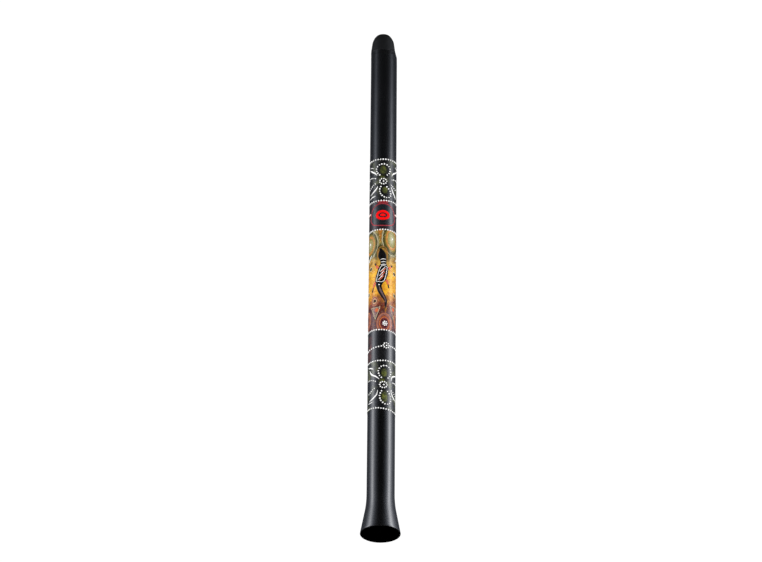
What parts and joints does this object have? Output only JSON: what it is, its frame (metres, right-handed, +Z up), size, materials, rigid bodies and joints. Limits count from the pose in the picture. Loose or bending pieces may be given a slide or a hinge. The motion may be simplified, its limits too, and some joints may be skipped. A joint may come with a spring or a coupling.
{
  "type": "didgeridoo",
  "caption": "Long straight wind instrument: a slightly tapering black pipe with a flared bell, painted bands with raised dot rings, and a soft push-on mouthpiece.",
  "frame": {"origin": "centre of the bell's open mouth, on the plane of its rim", "axes": "+Z up along the pipe from the bell to the mouthpiece; -Y is the painted front"},
  "size_m": [0.0942, 0.0942, 1.3],
  "materials": {
    "black_lacquer": "glossy black lacquer with soft streaks",
    "mouthpiece_rubber": "matte moulded rubber",
    "motif_paint": "black paint with soft olive patches under satin varnish",
    "badge_paint": "slate black paint under satin varnish",
    "painting_paint": "olive, amber and red-brown painting under satin varnish",
    "plain_paint": "black paint under satin varnish",
    "white_dot_paint": "thick white dabs of paint"
  },
  "bodies": {
    "pipe": {"pipe": "black_lacquer", "upper_motif_band": "motif_paint", "badge_band": "badge_paint", "painting_band": "painting_paint", "plain_band": "plain_paint", "lower_motif_band": "motif_paint", "dot_ring_top": "white_dot_paint", "dot_ring_over_badge": "white_dot_paint", "dot_ring_over_painting": "white_dot_paint", "dot_ring_under_painting": "white_dot_paint", "dot_ring_with_flower": "white_dot_paint", "dot_ring_over_lower_motif": "white_dot_paint", "dot_ring_bottom": "white_dot_paint"},
    "mouthpiece": {"mouthpiece": "mouthpiece_rubber"}
  },
  "joints": [
    {"name": "mouthpiece_pull", "type": "slide", "parent": "pipe", "child": "mouthpiece", "axis": [0, 0, 1], "range_m": [0, 0.04]}
  ]
}
